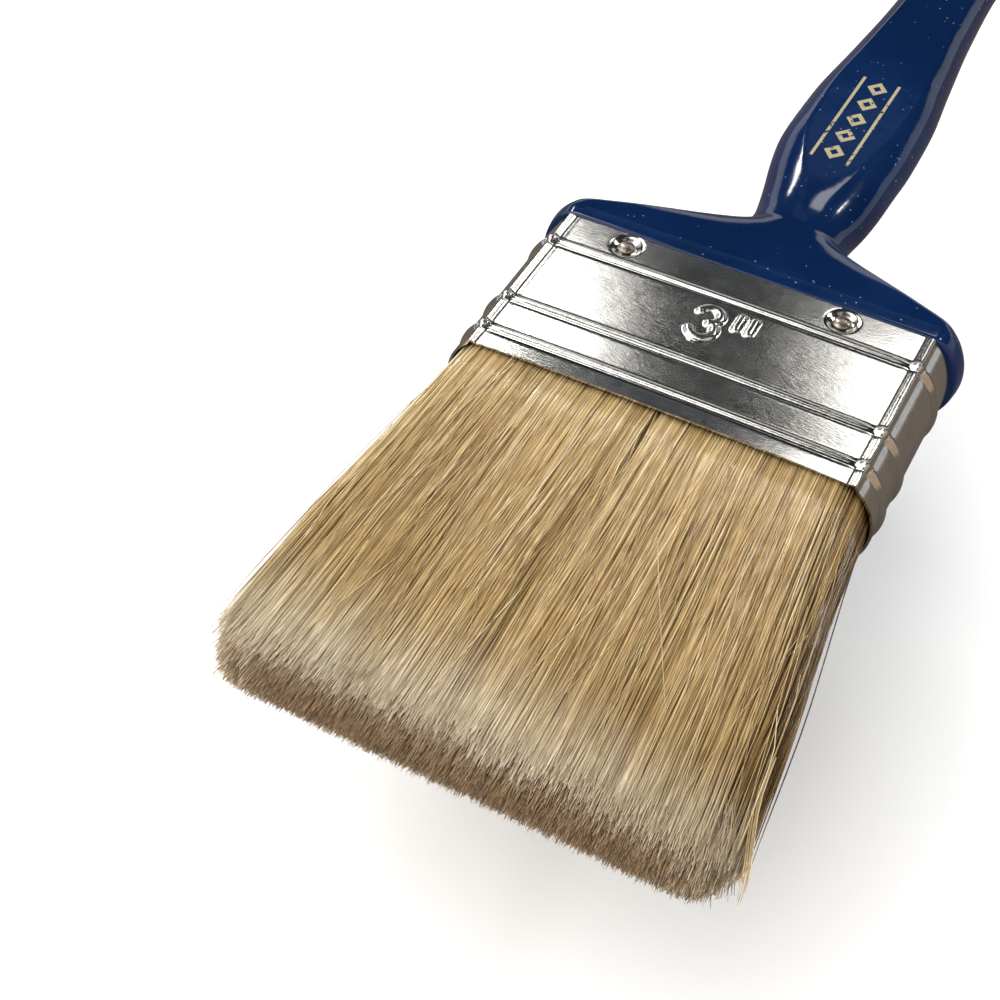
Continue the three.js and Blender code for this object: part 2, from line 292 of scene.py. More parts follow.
# ---------------------------------------------------------------- materials
class Nodes:
    """A material's node tree with short calls for what the materials here need."""

    def __init__(self, name):
        self.material = bpy.data.materials.new(name)
        self.material.use_nodes = True
        self.tree = self.material.node_tree
        self.shader = next(n for n in self.tree.nodes if n.type == "BSDF_PRINCIPLED")
        self.place = self.tree.nodes.new("ShaderNodeTexCoord").outputs["Object"]

    def node(self, kind, **settings):
        made = self.tree.nodes.new(kind)
        for key, value in settings.items():
            setattr(made, key, value)
        return made

    def put(self, socket, value):
        if isinstance(value, bpy.types.NodeSocket):
            self.tree.links.new(value, socket)
        else:
            socket.default_value = value

    def set(self, **values):
        for key, value in values.items():
            self.put(self.shader.inputs[key.replace("_", " ")], value)

    def math(self, operation, a, b=0.0, c=0.0, clamp=False):
        made = self.node("ShaderNodeMath", operation=operation, use_clamp=clamp)
        for socket, value in zip(made.inputs, (a, b, c)):
            self.put(socket, value)
        return made.outputs[0]

    def stretched(self, scale, shift=(0, 0, 0), turn=(0, 0, 0)):
        made = self.node("ShaderNodeMapping")
        self.put(made.inputs["Vector"], self.place)
        made.inputs["Location"].default_value = shift
        made.inputs["Rotation"].default_value = turn
        made.inputs["Scale"].default_value = scale
        return made.outputs[0]

    def noise(self, scale, detail=4.0, roughness=0.55, vector=None):
        made = self.node("ShaderNodeTexNoise")
        self.put(made.inputs["Vector"], self.place if vector is None else vector)
        made.inputs["Scale"].default_value = scale
        made.inputs["Detail"].default_value = detail
        made.inputs["Roughness"].default_value = roughness
        return made.outputs["Fac"]

    def cells(self, scale):
        """Distance to the nearest cell's middle, and a random value for each cell."""
        made = self.node("ShaderNodeTexVoronoi", feature="F1")
        self.put(made.inputs["Vector"], self.place)
        made.inputs["Scale"].default_value = scale
        split = self.node("ShaderNodeSeparateColor")
        self.put(split.inputs[0], made.outputs["Color"])
        return made.outputs["Distance"], split.outputs[0]

    def ramp(self, value, *stops):
        made = self.node("ShaderNodeValToRGB")
        self.put(made.inputs["Fac"], value)
        ramp = made.color_ramp
        while len(ramp.elements) < len(stops):
            ramp.elements.new(0.5)
        for element, (position, colour) in zip(ramp.elements, stops):
            element.position = position
            element.color = (*colour, 1) if isinstance(colour, tuple) else (colour,) * 3 + (1,)
        return made.outputs["Color"]

    def mix(self, factor, a, b):
        made = self.node("ShaderNodeMix", data_type="RGBA")
        self.put(made.inputs["Factor"], factor)
        for socket, value in ((made.inputs[6], a), (made.inputs[7], b)):
            self.put(socket, (*value, 1) if isinstance(value, tuple) else value)
        return made.outputs[2]

    def between(self, value, low, high):
        made = self.node("ShaderNodeMapRange", interpolation_type="SMOOTHSTEP")
        self.put(made.inputs["Value"], value)
        made.inputs["From Min"].default_value = low
        made.inputs["From Max"].default_value = high
        return made.outputs["Result"]

    def scaled(self, value, low, high):
        """A 0 to 1 value as low to high."""
        made = self.node("ShaderNodeMapRange")
        self.put(made.inputs["Value"], value)
        made.inputs["To Min"].default_value = low
        made.inputs["To Max"].default_value = high
        return made.outputs["Result"]

    def bumps(self, height, distance, strength=1.0, under=None):
        made = self.node("ShaderNodeBump")
        self.put(made.inputs["Height"], height)
        made.inputs["Distance"].default_value = distance
        made.inputs["Strength"].default_value = strength
        if under is not None:
            self.put(made.inputs["Normal"], under)
        return made.outputs["Normal"]

    def axes(self):
        made = self.node("ShaderNodeSeparateXYZ")
        self.put(made.inputs[0], self.place)
        return made.outputs

    def product(self, *values):
        total = values[0]
        for value in values[1:]:
            total = self.math("MULTIPLY", total, value)
        return total

    def fixed(self, **values):
        """Sets the shader's own sockets to constants."""
        for key, value in values.items():
            self.shader.inputs[key.replace("_", " ")].default_value = value


NAVY = (0.0017, 0.0120, 0.052)
NAVY_LIGHT = (0.0031, 0.0185, 0.074)
DUST = (0.24, 0.33, 0.44)
GOLD = (0.42, 0.36, 0.22)

# The printed ornament on the front facet, in brush millimetres.
PRINT_FROM = 78.0
PRINT_TO = 108.0
PRINT_STEP = 6.0
DIAMOND_HALF_WIDTH = 2.1
DIAMOND_HALF_HEIGHT = 2.5
LINE_X = 3.6
PRINT_MIN_Z = 4.0


def ornament(m, x, y, z):
    """A row of diamonds between two lines, slightly worn, as a 0 to 1 value."""
    u = m.math("DIVIDE", m.math("SUBTRACT", x, float(mouth.x)), MM)
    v = m.math("DIVIDE", m.math("SUBTRACT", y, float(mouth.y)), MM)
    within = m.product(m.math("GREATER_THAN", v, PRINT_FROM), m.math("LESS_THAN", v, PRINT_TO))
    front = m.math("GREATER_THAN", z, float(mouth.z) + PRINT_MIN_Z * MM)
    cell = m.math("MODULO", m.math("SUBTRACT", v, PRINT_FROM), PRINT_STEP)
    along = m.math("ABSOLUTE", m.math("SUBTRACT", cell, PRINT_STEP / 2))
    across = m.math("ABSOLUTE", u)
    wide = m.math("MULTIPLY", across, 1 / DIAMOND_HALF_WIDTH)
    lozenge = m.math("ADD", wide, m.math("MULTIPLY", along, 1 / DIAMOND_HALF_HEIGHT))
    diamond = m.between(lozenge, 1.04, 0.94)
    hollow = m.between(lozenge, 0.46, 0.38)
    line = m.between(m.math("ABSOLUTE", m.math("SUBTRACT", across, LINE_X)), 0.36, 0.26)
    shape = m.math("ADD", m.math("SUBTRACT", diamond, hollow), line, clamp=True)
    worn = m.between(m.noise(700, detail=4), 0.30, 0.46)
    return m.product(shape, within, front, worn)


def lacquer_material():
    m = Nodes("navy_lacquer")
    x, y, z = m.axes()
    cloud = m.noise(38, detail=3)
    colour = m.mix(m.between(cloud, 0.35, 0.75), NAVY, NAVY_LIGHT)
    # Tiny dust specks caught in the lacquer, in loose patches.
    distance, chance = m.cells(720)
    dot = m.math("LESS_THAN", distance, 0.12)
    lucky = m.math("GREATER_THAN", chance, 0.66)
    patch = m.between(m.noise(60, detail=2), 0.36, 0.60)
    dust = m.product(dot, lucky, patch)
    colour = m.mix(m.math("MULTIPLY", dust, 0.8), colour, DUST)
    # Hairline scuffs near the two ends of the shoulder.
    scuff_place = m.stretched((260, 2600, 300), turn=(0, 0, 0.5))
    hair = m.between(m.noise(1.0, detail=5, roughness=0.7, vector=scuff_place), 0.62, 0.70)
    end_x = m.between(m.math("ABSOLUTE", m.math("SUBTRACT", x, float(mouth.x))), 0.024, 0.034)
    end_y = m.between(y, float(mouth.y) + 0.056, float(mouth.y) + 0.044)
    scuff = m.product(hair, end_x, end_y)
    colour = m.mix(m.math("MULTIPLY", scuff, 0.30), colour, DUST)
    colour = m.mix(ornament(m, x, y, z), colour, GOLD)
    rough = m.scaled(m.noise(120, detail=4), 0.05, 0.13)
    rough = m.math("ADD", rough, m.math("MULTIPLY", scuff, 0.25))
    ripple = m.bumps(m.noise(95, detail=2), 0.00022, 0.5)
    ripple = m.bumps(m.noise(700, detail=2), 0.000012, 0.6, under=ripple)
    m.set(Base_Color=colour, Roughness=rough, Normal=ripple)
    m.fixed(Specular_IOR_Level=0.55)
    return m.material


def plate_material():
    m = Nodes("tin_plate")
    grain = m.noise(1.0, detail=5, roughness=0.65, vector=m.stretched((900, 2600, 2600)))
    mottle = m.noise(420, detail=4)
    cloud = m.noise(55, detail=3)
    tone = m.math("ADD", m.math("MULTIPLY", grain, 0.5), m.math("MULTIPLY", mottle, 0.5))
    colour = m.ramp(tone, (0.3, (0.60, 0.59, 0.56)), (0.7, (0.80, 0.79, 0.75)))
    haze = m.math("ADD", m.math("MULTIPLY", tone, 0.6), m.math("MULTIPLY", cloud, 0.4))
    rough = m.scaled(haze, 0.05, 0.215)
    relief = m.bumps(m.noise(60, detail=2), 0.00008, 0.5)
    relief = m.bumps(grain, 0.000016, 0.9, under=relief)
    m.set(Base_Color=colour, Roughness=rough, Normal=relief, Metallic=1.0)
    return m.material


def nail_material():
    m = Nodes("nail_steel")
    blotch = m.noise(1500, detail=4)
    colour = m.ramp(blotch, (0.35, (0.20, 0.165, 0.13)), (0.65, (0.46, 0.41, 0.35)))
    m.set(Base_Color=colour, Roughness=m.scaled(blotch, 0.38, 0.20), Metallic=1.0)
    m.set(Normal=m.bumps(blotch, 0.00003, 0.6))
    return m.material


def fibre_material():
    """Rooted bristle inside the ferrule, streaked along its length."""
    m = Nodes("rooted_bristle")
    streak = m.noise(1.0, detail=4, vector=m.stretched((2600, 90, 2600)))
    m.set(Base_Color=m.ramp(streak, (0.3, (0.20, 0.12, 0.05)), (0.7, (0.55, 0.38, 0.19))), Roughness=0.5)
    m.set(Normal=m.bumps(streak, 0.0002, 0.8))
    return m.material


def softwood_material():
    m = Nodes("plug_softwood")
    rings = m.noise(1.0, detail=5, vector=m.stretched((60, 700, 700)))
    m.set(Base_Color=m.ramp(rings, (0.35, (0.40, 0.25, 0.11)), (0.7, (0.66, 0.48, 0.27))), Roughness=0.75)
    m.set(Normal=m.bumps(rings, 0.0001, 0.6))
    return m.material


def resin_material():
    m = Nodes("amber_epoxy")
    swirl = m.noise(220, detail=4)
    m.set(Base_Color=m.ramp(swirl, (0.3, (0.24, 0.13, 0.03)), (0.7, (0.42, 0.27, 0.09))), Roughness=0.3)
    m.set(Normal=m.bumps(swirl, 0.0001, 0.4))
    return m.material


# ---------------------------------------------------------------- handle
HANDLE_SECTIONS = (
    # y, half width, half thickness
    (37.8, 39.5, 9.6),
    (40.8, 39.9, 9.5),
    (43.1, 39.2, 9.2),
    (45.9, 34.0, 8.8),
    (49.8, 26.0, 8.4),
    (53.7, 18.0, 7.9),
    (56.8, 12.2, 7.5),
    (59.2, 9.9, 7.2),
    (63.0, 9.6, 7.1),
    (70.0, 10.7, 7.4),
    (80.0, 12.2, 8.0),
    (91.0, 13.1, 8.6),
    (103.0, 12.9, 8.6),
    (120.0, 11.3, 7.9),
    (140.0, 9.6, 7.0),
    (158.0, 8.9, 6.3),
    (173.0, 9.4, 6.0),
    (185.0, 10.6, 5.9),
    (193.0, 9.6, 5.4),
    (198.2, 6.2, 4.2),
    (200.0, 1.4, 1.4),
)
SHOULDER_TOP = 44.0
NECK_Y = 60.0
NECK_DRIFT = 1.2
DRIFT_FADES = (68.0, 88.0)
FACET_START_Y = 75.0
FACET_START_Z = 7.2
FACET_SLOPE = 0.028
FACET_SOFTNESS = 0.32
HANG_HOLE_Y = 185.0
HANG_HOLE_RADIUS = 4.0
TENON_START = 24.9
TENON_INSET = 1.4


def handle_profile(y):
    """Half width and half thickness, eased along the grip so that reflections run smoothly."""
    table = np.array(HANDLE_SECTIONS)
    fine = np.arange(table[0, 0], table[-1, 0] + 0.05, 0.1)
    sizes = []
    for half_size in (table[:, 1], table[:, 2]):
        raw = monotone(fine, table[:, 0], half_size)
        reach = 45
        kernel = np.exp(-((np.arange(-reach, reach + 1) * 0.1 / 1.6) ** 2) / 2)
        kernel /= kernel.sum()
        eased = np.convolve(np.pad(raw, reach, mode="edge"), kernel, mode="valid")
        share = smoothstep(fine, 61, 68) * (1 - smoothstep(fine, 186, 194))
        sizes.append(np.interp(y, fine, raw + (eased - raw) * share))
    return sizes


def soft_min(a, b, softness):
    h = np.clip(0.5 + 0.5 * (b - a) / softness, 0, 1)
    return b * (1 - h) + a * h - softness * h * (1 - h)


def add_handle(material):
    quadrant = spaced((0, 38, 2.4), (38, 62, 0.6), (62, 90, 2.2))
    whole = np.concatenate([
        quadrant[:-1],
        180 - quadrant[::-1][:-1],
        180 + quadrant[:-1],
        360 - quadrant[::-1][:-1],
    ])
    phi = np.radians(whole)
    _, band_x, band_z, _, _ = smooth_band(1.0)
    radius = outline_reach(phi, band_x, band_z)
    ys = spaced(
        (37.85, 38.6, 0.15),
        (38.6, 60, 0.3),
        (60, 186, 0.75),
        (186, 197, 0.4),
        (197, 199.6, 0.16),
        (199.6, HANDLE_END - 0.02, 0.06),
    )
    width, thickness = handle_profile(ys)
    # The shoulder's lower edge is eased where it meets the ferrule.
    ease = 0.5 * (1 - np.sqrt(np.clip(1 - ((38.5 - ys) / 0.7).clip(0, 1) ** 2, 0, 1)))
    width, thickness = width - ease, thickness - ease
    roundness = smoothstep(ys, SHOULDER_TOP, NECK_Y)[:, None]
    drift = NECK_DRIFT * roundness[:, 0] * (1 - smoothstep(ys, *DRIFT_FADES))
    shape = radius[None, :] * (1 - roundness) + roundness
    x = np.cos(phi)[None, :] * shape * width[:, None] + drift[:, None]
    z = np.sin(phi)[None, :] * shape * thickness[:, None]
    plane = FACET_START_Z - FACET_SLOPE * (ys - FACET_START_Y) + 0.5 * (67 - ys).clip(0, None)
    z = np.sign(z) * soft_min(np.abs(z), plane[:, None], FACET_SOFTNESS)
    rings = [np.stack([x[k], np.full(len(phi), ys[k]), z[k]], -1) for k in range(len(ys))]
    band = np.stack([np.cos(phi) * radius, np.sin(phi) * radius], -1)
    tenon = band * (BAND_HALF_WIDTH - TENON_INSET, BAND_HALF_THICKNESS - TENON_INSET)
    for y in (ys[0], TENON_START):
        rings.insert(0, np.stack([tenon[:, 0], np.full(len(phi), y), tenon[:, 1]], -1))
    obj = add_loft("handle_lacquered", rings, [0, TENON_START, 0], [0, HANDLE_END, 0])
    fix_normals(obj, 50)
    cut_hang_hole(obj)
    obj.data.set_sharp_from_angle(angle=math.radians(50))
    obj.data.materials.clear()
    obj.data.materials.append(material)
    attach(obj, "brush_body")
    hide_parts("handle")
    return obj


def cut_hang_hole(obj):
    """The hanging hole, with a rim rolled over where it meets the two facets."""
    face = FACET_START_Z - FACET_SLOPE * (HANG_HOLE_Y - FACET_START_Y)
    roll = 0.9
    outer = HANG_HOLE_RADIUS + roll + 1.5
    upper = []
    for turn in np.radians(np.linspace(0, 90, 9)):
        radius = HANG_HOLE_RADIUS + roll * (1 - math.cos(turn))
        upper.append((radius, face - roll + roll * math.sin(turn)))
    upper += [(outer, face + 0.9), (outer, face + 4)]
    profile = [(r, -z) for r, z in reversed(upper)] + upper
    rings = turned_rings(profile, 0, HANG_HOLE_Y, steps=72)
    bottom, top = ([0, HANG_HOLE_Y, profile[k][1]] for k in (0, -1))
    cutter = add_loft("hang_hole_cutter", rings, bottom, top)
    fix_normals(cutter, 60)
    cut = obj.modifiers.new("hang_hole", "BOOLEAN")
    cut.operation = "DIFFERENCE"
    cut.solver = "EXACT"
    cut.object = cutter
    depsgraph = bpy.context.evaluated_depsgraph_get()
    made = bpy.data.meshes.new_from_object(obj.evaluated_get(depsgraph))
    obj.modifiers.clear()
    obj.data = made
    bpy.data.objects.remove(cutter)


# ---------------------------------------------------------------- ferrule
def bead_height(y, share):
    """How far the sheet stands out: rolled beads with a groove on the mouth side, bolder round the sides."""
    height = np.zeros(np.broadcast(y, share).shape)
    for centre in BEAD_CENTRES:
        height += (0.26 + 0.24 * share) * bump(y, centre + 0.1, 0.50 + 0.14 * share)
        height -= 0.10 * bump(y, centre - 1.0, 0.45)
    return height


def stroke_distance(x, y, strokes):
    """Distance from each point to the nearest stroke, given as (x, y) lists."""
    best = np.full(np.broadcast(x, y).shape, 1e9)
    for line in strokes:
        for (ax, ay), (bx, by) in zip(line[:-1], line[1:]):
            dx, dy = bx - ax, by - ay
            t = np.clip(((x - ax) * dx + (y - ay) * dy) / (dx * dx + dy * dy), 0, 1)
            best = np.minimum(best, np.hypot(x - ax - t * dx, y - ay - t * dy))
    return best


def arc(cx, cy, radius, start, end):
    turn = np.radians(np.linspace(start, end, 19))
    return [(cx + radius * math.cos(t), cy + radius * math.sin(t)) for t in turn]


def size_mark_height(x, y):
    """The raised 3 and inch mark, with sloped edges."""
    strokes = [
        arc(-2.3, 1.9, 1.95, 165, -70),
        arc(-2.3, -1.7, 2.15, 75, -165),
        [(2.8, 0.9), (2.8, 4.1)],
        [(5.1, 0.9), (5.1, 4.1)],
    ]
    distance = stroke_distance(x - MARK_CENTRE[0], y - MARK_CENTRE[1], strokes)
    return 0.46 * (1 - smoothstep(distance, 0.35, 1.05))


def ferrule_columns():
    """Places along the band's outline, closer together at the corners, the dimples and the size mark."""
    fine = 0.15
    dimple_reach = 3.7
    flat = []
    start = CORNER_REACH
    for side in (-1, 1):
        centre = BAND_HALF_FLAT + NAIL_SHIFT + side * NAIL_X
        low, high = centre - dimple_reach, centre + dimple_reach
        flat += [(start, low, 0.7), (low, high, 0.22)]
        start = high
    flat.append((start, FLAT_LENGTH - CORNER_REACH, 0.7))
    mark_from = BAND_HALF_FLAT + MARK_CENTRE[0] - 6.2
    mark_to = BAND_HALF_FLAT + MARK_CENTRE[0] + 7.4
    marked = []
    for low, high, step in flat:
        if low < mark_from < high:
            marked += [(low, mark_from, step), (mark_from, mark_to, fine), (mark_to, high, step)]
        else:
            marked.append((low, high, step))

    def half_way_round(start, face):
        """One broad face and the bowed side that follows it."""
        zones = [
            (0, CORNER_REACH, fine),
            *face,
            (FLAT_LENGTH - CORNER_REACH, FLAT_LENGTH, fine),
            (FLAT_LENGTH, FLAT_LENGTH + CORNER_REACH, fine),
            (FLAT_LENGTH + CORNER_REACH, HALF_BAND - CORNER_REACH, 0.55),
            (HALF_BAND - CORNER_REACH, HALF_BAND, fine),
        ]
        return [(start + low, start + high, step) for low, high, step in zones]

    return spaced(*half_way_round(0, marked), *half_way_round(HALF_BAND, flat))[:-1]


def ferrule_rows():
    """Heights up the ferrule, closer together at the beads, the size mark and the dimples."""
    below, above, fine = 2.2, 1.7, 0.17
    first, second, third = BEAD_CENTRES
    mark_foot = 18.0
    return spaced(
        (0, first - below, 0.35),
        (first - below, first + above, fine),
        (first + above, second - below, 0.5),
        (second - below, second + above, fine),
        (second + above, mark_foot, 0.5),
        (mark_foot, third - below, 0.18),
        (third - below, third + above, fine),
        (third + above, FERRULE_HEIGHT, 0.22),
    )


def add_ferrule(material):
    columns = ferrule_columns()
    rows = ferrule_rows()
    s, bx, bz, nx, nz = smooth_band(0.42)
    base_x, base_z, normal_x, normal_z = (
        np.interp(columns, s, v, period=BAND_LENGTH) for v in (bx, bz, nx, nz)
    )
    base = np.stack([base_x, base_z], -1)
    normal = np.stack([normal_x, normal_z], -1)
    normal /= np.linalg.norm(normal, axis=1, keepdims=True)
    corners = np.array([0, FLAT_LENGTH, HALF_BAND, HALF_BAND + FLAT_LENGTH, BAND_LENGTH])
    to_corner = np.abs(columns[:, None] - corners[None, :]).min(1)
    ridge = 0.36 * bump(to_corner, 0, 0.60) - 0.05 * bump(to_corner, 1.5, 0.5)
    flat_share = np.clip(1 - (base[:, 0] / BAND_HALF_FLAT) ** 2, 0, 1)
    lip_share = np.clip(1 - (base[:, 0] / BAND_HALF_FLAT) ** 4, 0, 1)
    on_face = np.abs(base[:, 1]) > BAND_HALF_THICKNESS - 0.8
    around_share = 1 - smoothstep(to_corner, 0.5, 3.0) * on_face

    def skin(y, wall):
        """One skin of the sheet at heights y, the wall's depth under the outer face."""
        fade = 1 - 0.5 * bump(to_corner, 1.7, 1.0) * on_face
        height = bead_height(y[:, None], around_share[None, :]) * fade[None, :] + ridge[None, :]
        knots = sum(bump(y, centre + 0.1, 0.8) for centre in BEAD_CENTRES)
        height += 0.10 * knots[:, None] * bump(to_corner, 0, 0.8)[None, :]
        height += 0.30 * (flat_share * on_face)[None, :]
        flare = 0.041 * np.log1p(np.exp((4.4 - y) / 0.5)) - 0.013 * np.log1p(np.exp((y - 31.2) / 0.5))
        height += flare[:, None] * (lip_share * on_face)[None, :]
        for sign in (1, -1):
            face = on_face & (np.sign(base[:, 1]) == sign)
            for side in (-1, 1):
                centre = sign * (side * NAIL_X + NAIL_SHIFT)
                away = np.hypot(base[:, 0][None, :] - centre, (y - NAIL_Y)[:, None]) / DIMPLE_RADIUS
                bowl = 1 - smoothstep(away, 0.38, 1.04)
                height += np.where(face[None, :], -(DIMPLE_DEPTH + 0.1) * bowl, 0)
        on_front = on_face & (base[:, 1] > 0)
        mark = size_mark_height(base[:, 0][None, :], y[:, None])
        height += np.where(on_front[None, :], mark, 0)
        height -= wall
        placed = base[None] + normal[None] * height[..., None]
        level = np.broadcast_to(y[:, None], height.shape)
        return np.stack([placed[..., 0], level, placed[..., 1]], -1)

    inner_rows = spaced((0, 0.8, 0.8), (0.8, 30, 3), (30, FERRULE_HEIGHT, 0.4))[::-1]
    grid = np.concatenate([skin(rows, 0.0), skin(inner_rows, FERRULE_WALL)])
    obj = add_mesh("ferrule_plated", grid, grid_quads(len(grid), len(columns), rows_close=True))
    fix_normals(obj, 60)
    obj.data.materials.append(material)
    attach(obj, "brush_body")
    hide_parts("ferrule")
    return obj


# ---------------------------------------------------------------- nails
def add_nails(material):
    seat = -DIMPLE_DEPTH + 0.1
    point, crown = -7.2, seat + 0.66
    profile = [(0.12, -7.1), (0.65, -6.0), (0.65, seat - 0.25), (0.75, seat - 0.05), (1.45, seat - 0.02)]
    for t in np.radians(np.linspace(0, 84, 12)):
        profile.append((0.08 + 1.5 * math.cos(t), seat + 0.07 + 0.62 * math.sin(t) ** 0.9))
    for face, word in ((1, "front"), (-1, "back")):
        for side, hand in ((-1, "left"), (1, "right")):
            cx = face * (side * NAIL_X + NAIL_SHIFT)
            cz = face * (BAND_HALF_THICKNESS + 0.2)
            rings = turned_rings([(r, cz + face * z) for r, z in profile], cx, NAIL_Y, steps=40)
            ends = ([cx, NAIL_Y, cz + face * z] for z in (point, crown))
            obj = add_loft(f"nail_{word}_{hand}_round_head", rings, *ends)
            fix_normals(obj, 50)
            obj.data.materials.append(material)
            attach(obj, "brush_body")
            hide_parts(f"nail_{word}_{hand}")


# ---------------------------------------------------------------- bristle
TAN = np.array([
    (0.090, 0.050, 0.018),
    (0.180, 0.106, 0.040),
    (0.290, 0.182, 0.072),
    (0.410, 0.272, 0.112),
    (0.520, 0.358, 0.156),
    (0.630, 0.448, 0.205),
    (0.730, 0.540, 0.265),
    (0.820, 0.640, 0.350),
    (0.900, 0.750, 0.490),
])
CREAM = np.array((1.0, 0.86, 0.635))
# Browns of the blunt end: partly the hairs' own darker tips, partly painted shade of the end face.
TAUPE = np.array([
    (0.090, 0.048, 0.020),
    (0.200, 0.112, 0.048),
    (0.350, 0.208, 0.096),
    (0.530, 0.342, 0.175),
    (0.720, 0.510, 0.300),
])


def bristle_material():
    """Each hair's own colour from root to tip, with fine streaks, blotches and a waxy shine."""
    m = Nodes("hog_bristle")
    own = m.node("ShaderNodeVertexColor", layer_name="tone").outputs["Color"]
    streak = m.noise(1.0, detail=3, vector=m.stretched((3000, 160, 3000)))
    blotch = m.noise(1.0, detail=2, vector=m.stretched((500, 320, 500)))
    shade = m.math("ADD", m.math("MULTIPLY", streak, 0.6), m.math("MULTIPLY", blotch, 0.4))
    light = m.ramp(shade, (0.25, (0.70, 0.66, 0.60)), (0.75, (1.22, 1.24, 1.26)))
    tinted = m.node("ShaderNodeMix", data_type="RGBA", blend_type="MULTIPLY")
    tinted.inputs["Factor"].default_value = 1.0
    m.put(tinted.inputs[6], own)
    m.put(tinted.inputs[7], light)
    m.set(Base_Color=tinted.outputs[2], Roughness=m.scaled(streak, 0.08, 0.24))
    m.set(Normal=m.bumps(blotch, 0.00018, 0.8))
    m.fixed(Specular_IOR_Level=0.72, Coat_Weight=0.3, Coat_Roughness=0.08)
    return m.material


PACK_Y = (-75.0, -64.0, -55.0, -38.0, -20.0, 0.0, 5.0)
PACK_WIDTH = (43.6, 43.0, 42.4, 41.2, 39.4, 37.75, 37.5)
PACK_THICKNESS = (5.6, 6.2, 6.6, 7.3, 8.1, 9.0, 8.9)
TIP_Y = -71.0
TIP_LEAN = 1.1
PACK_LENGTH = 72.0
CROWN = 0.62


def pack_half_width(y):
    return monotone(y, PACK_Y, PACK_WIDTH)


def pack_half_thickness(y):
    return monotone(y, PACK_Y, PACK_THICKNESS)


# The pack's outline, and places in it: u and v are shares of its half width and half thickness.
pack_s, pack_x, pack_z, _, _ = smooth_band(1.6)


def outline_place(s):
    """The u and v of a place on the pack's outline, by length along it."""
    u = np.interp(s, pack_s, pack_x, period=BAND_LENGTH) / BAND_HALF_WIDTH
    v = np.interp(s, pack_s, pack_z, period=BAND_LENGTH) / BAND_HALF_THICKNESS
    return u, v


def tip_level(u, v):
    """Where bristles at u, v across the pack end: a blunt end, rounded at its corners and edges."""
    side = np.clip((np.abs(u) - 0.80) / 0.20, 0, 1.15)
    side_drop = np.where(u < 0, 9.5, 7.0) * side**2.3
    edge_drop = np.where(v > 0, 5.2, 2.6) * np.clip(np.abs(v), 0, 1.1) ** 2.6
    return TIP_Y + side_drop + edge_drop


HAIR_CELL = 3
HAIR_SHEET = 512


def hair_map(count, rings, along):
    """Where each hair lies on a square sheet: one narrow upright cell per hair, root at its foot."""
    columns = HAIR_SHEET // HAIR_CELL
    rows = math.ceil(count / columns)
    number = np.arange(count)
    left = (number % columns) * HAIR_CELL / HAIR_SHEET
    right = left + HAIR_CELL / HAIR_SHEET
    foot = (number // columns) / rows
    v = foot[:, None] + (0.04 + 0.92 * along[None, :]) / rows
    low, high = v[:, :-1], v[:, 1:]
    left, right = left[:, None] + np.zeros_like(low), right[:, None] + np.zeros_like(low)
    quad = np.stack([
        np.stack([left, low], -1),
        np.stack([left, high], -1),
        np.stack([right, high], -1),
        np.stack([right, low], -1),
    ], axis=2)
    sides = np.repeat(quad[:, :, None], 3, axis=2).reshape(-1, 2)
    ends = []
    for k in (0, -1):
        level = v[:, k]
        middle = (left[:, 0] + right[:, 0]) / 2
        ends.append(np.stack([
            np.stack([left[:, 0], level], -1),
            np.stack([middle, level + 0.01 / rows * (1 if k else -1)], -1),
            np.stack([right[:, 0], level], -1),
        ], axis=1).reshape(-1, 2))
    return np.concatenate([sides, *ends])


def strand_object(name, centres, radii, colours, material, rng, node):
    """Tapered three-sided hairs. centres and colours are strands x rings x 3, radii is strands x rings."""
    count, rings = centres.shape[:2]
    start = rng.uniform(0, 2 * math.pi, count)
    corner = start[:, None] + np.arange(3)[None, :] * (2 * math.pi / 3)
    offset = np.stack([np.cos(corner), np.zeros_like(corner), np.sin(corner)], -1)
    vertices = centres[:, :, None, :] + radii[:, :, None, None] * offset[:, None, :, :]
    base = (np.arange(count) * rings * 3)[:, None, None]
    ring = (np.arange(rings - 1) * 3)[None, :, None]
    k = np.arange(3)[None, None, :]
    a, b = base + ring + k, base + ring + (k + 1) % 3
    quads = np.stack([a, a + 3, b + 3, b], -1).reshape(-1, 4)
    root = base[:, 0, 0]
    tip = root + (rings - 1) * 3
    caps = np.concatenate([
        np.stack([root, root + 1, root + 2], -1),
        np.stack([tip + 2, tip + 1, tip], -1),
    ])
    obj = add_mesh(name, vertices, quads, caps)
    tone = np.ones((count, rings, 3, 4), np.float32)
    tone[..., :3] = np.clip(colours, 0, 1)[:, :, None, :]
    own = obj.data.color_attributes.new(name="tone", type="FLOAT_COLOR", domain="POINT")
    own.data.foreach_set("color", tone.ravel())
    layer = obj.data.uv_layers.new(name="OFBake")
    layer.data.foreach_set("uv", hair_map(count, rings, np.linspace(0, 1, rings)).astype(np.float32).ravel())
    obj.data.materials.append(material)
    obj.data.update()
    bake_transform(obj)
    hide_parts(node)
    return obj


def shade_of(palette, tone):
    """A colour between the palette's darkest and palest, tone from 0 to 1."""
    step = np.clip(tone, 0, 1) * (len(palette) - 1)
    k = np.clip(step.astype(int), 0, len(palette) - 2)
    return palette[k] + (palette[k + 1] - palette[k]) * (step - k)[..., None]


def toward_colour(colours, target, share):
    return colours + (target - colours) * share


# The parting's place, how far it runs down, and how far and how widely it pushes hairs aside.
CLEFT_X = 0.6
CLEFT_SLOPE = 0.02
CLEFT_END = -24.0
CLEFT_PUSH = 0.48
CLEFT_REACH = 1.1


def part_cleft(x, y, z):
    """Opens the dark parting that runs from the mouth down the front face."""
    away = x - CLEFT_X - CLEFT_SLOPE * y
    strength = smoothstep(y, CLEFT_END, CLEFT_END + 12) * (z > 0)
    push = CLEFT_PUSH * np.exp(-((away / CLEFT_REACH) ** 2)) * strength
    return x + np.where(away >= 0, push, -push)


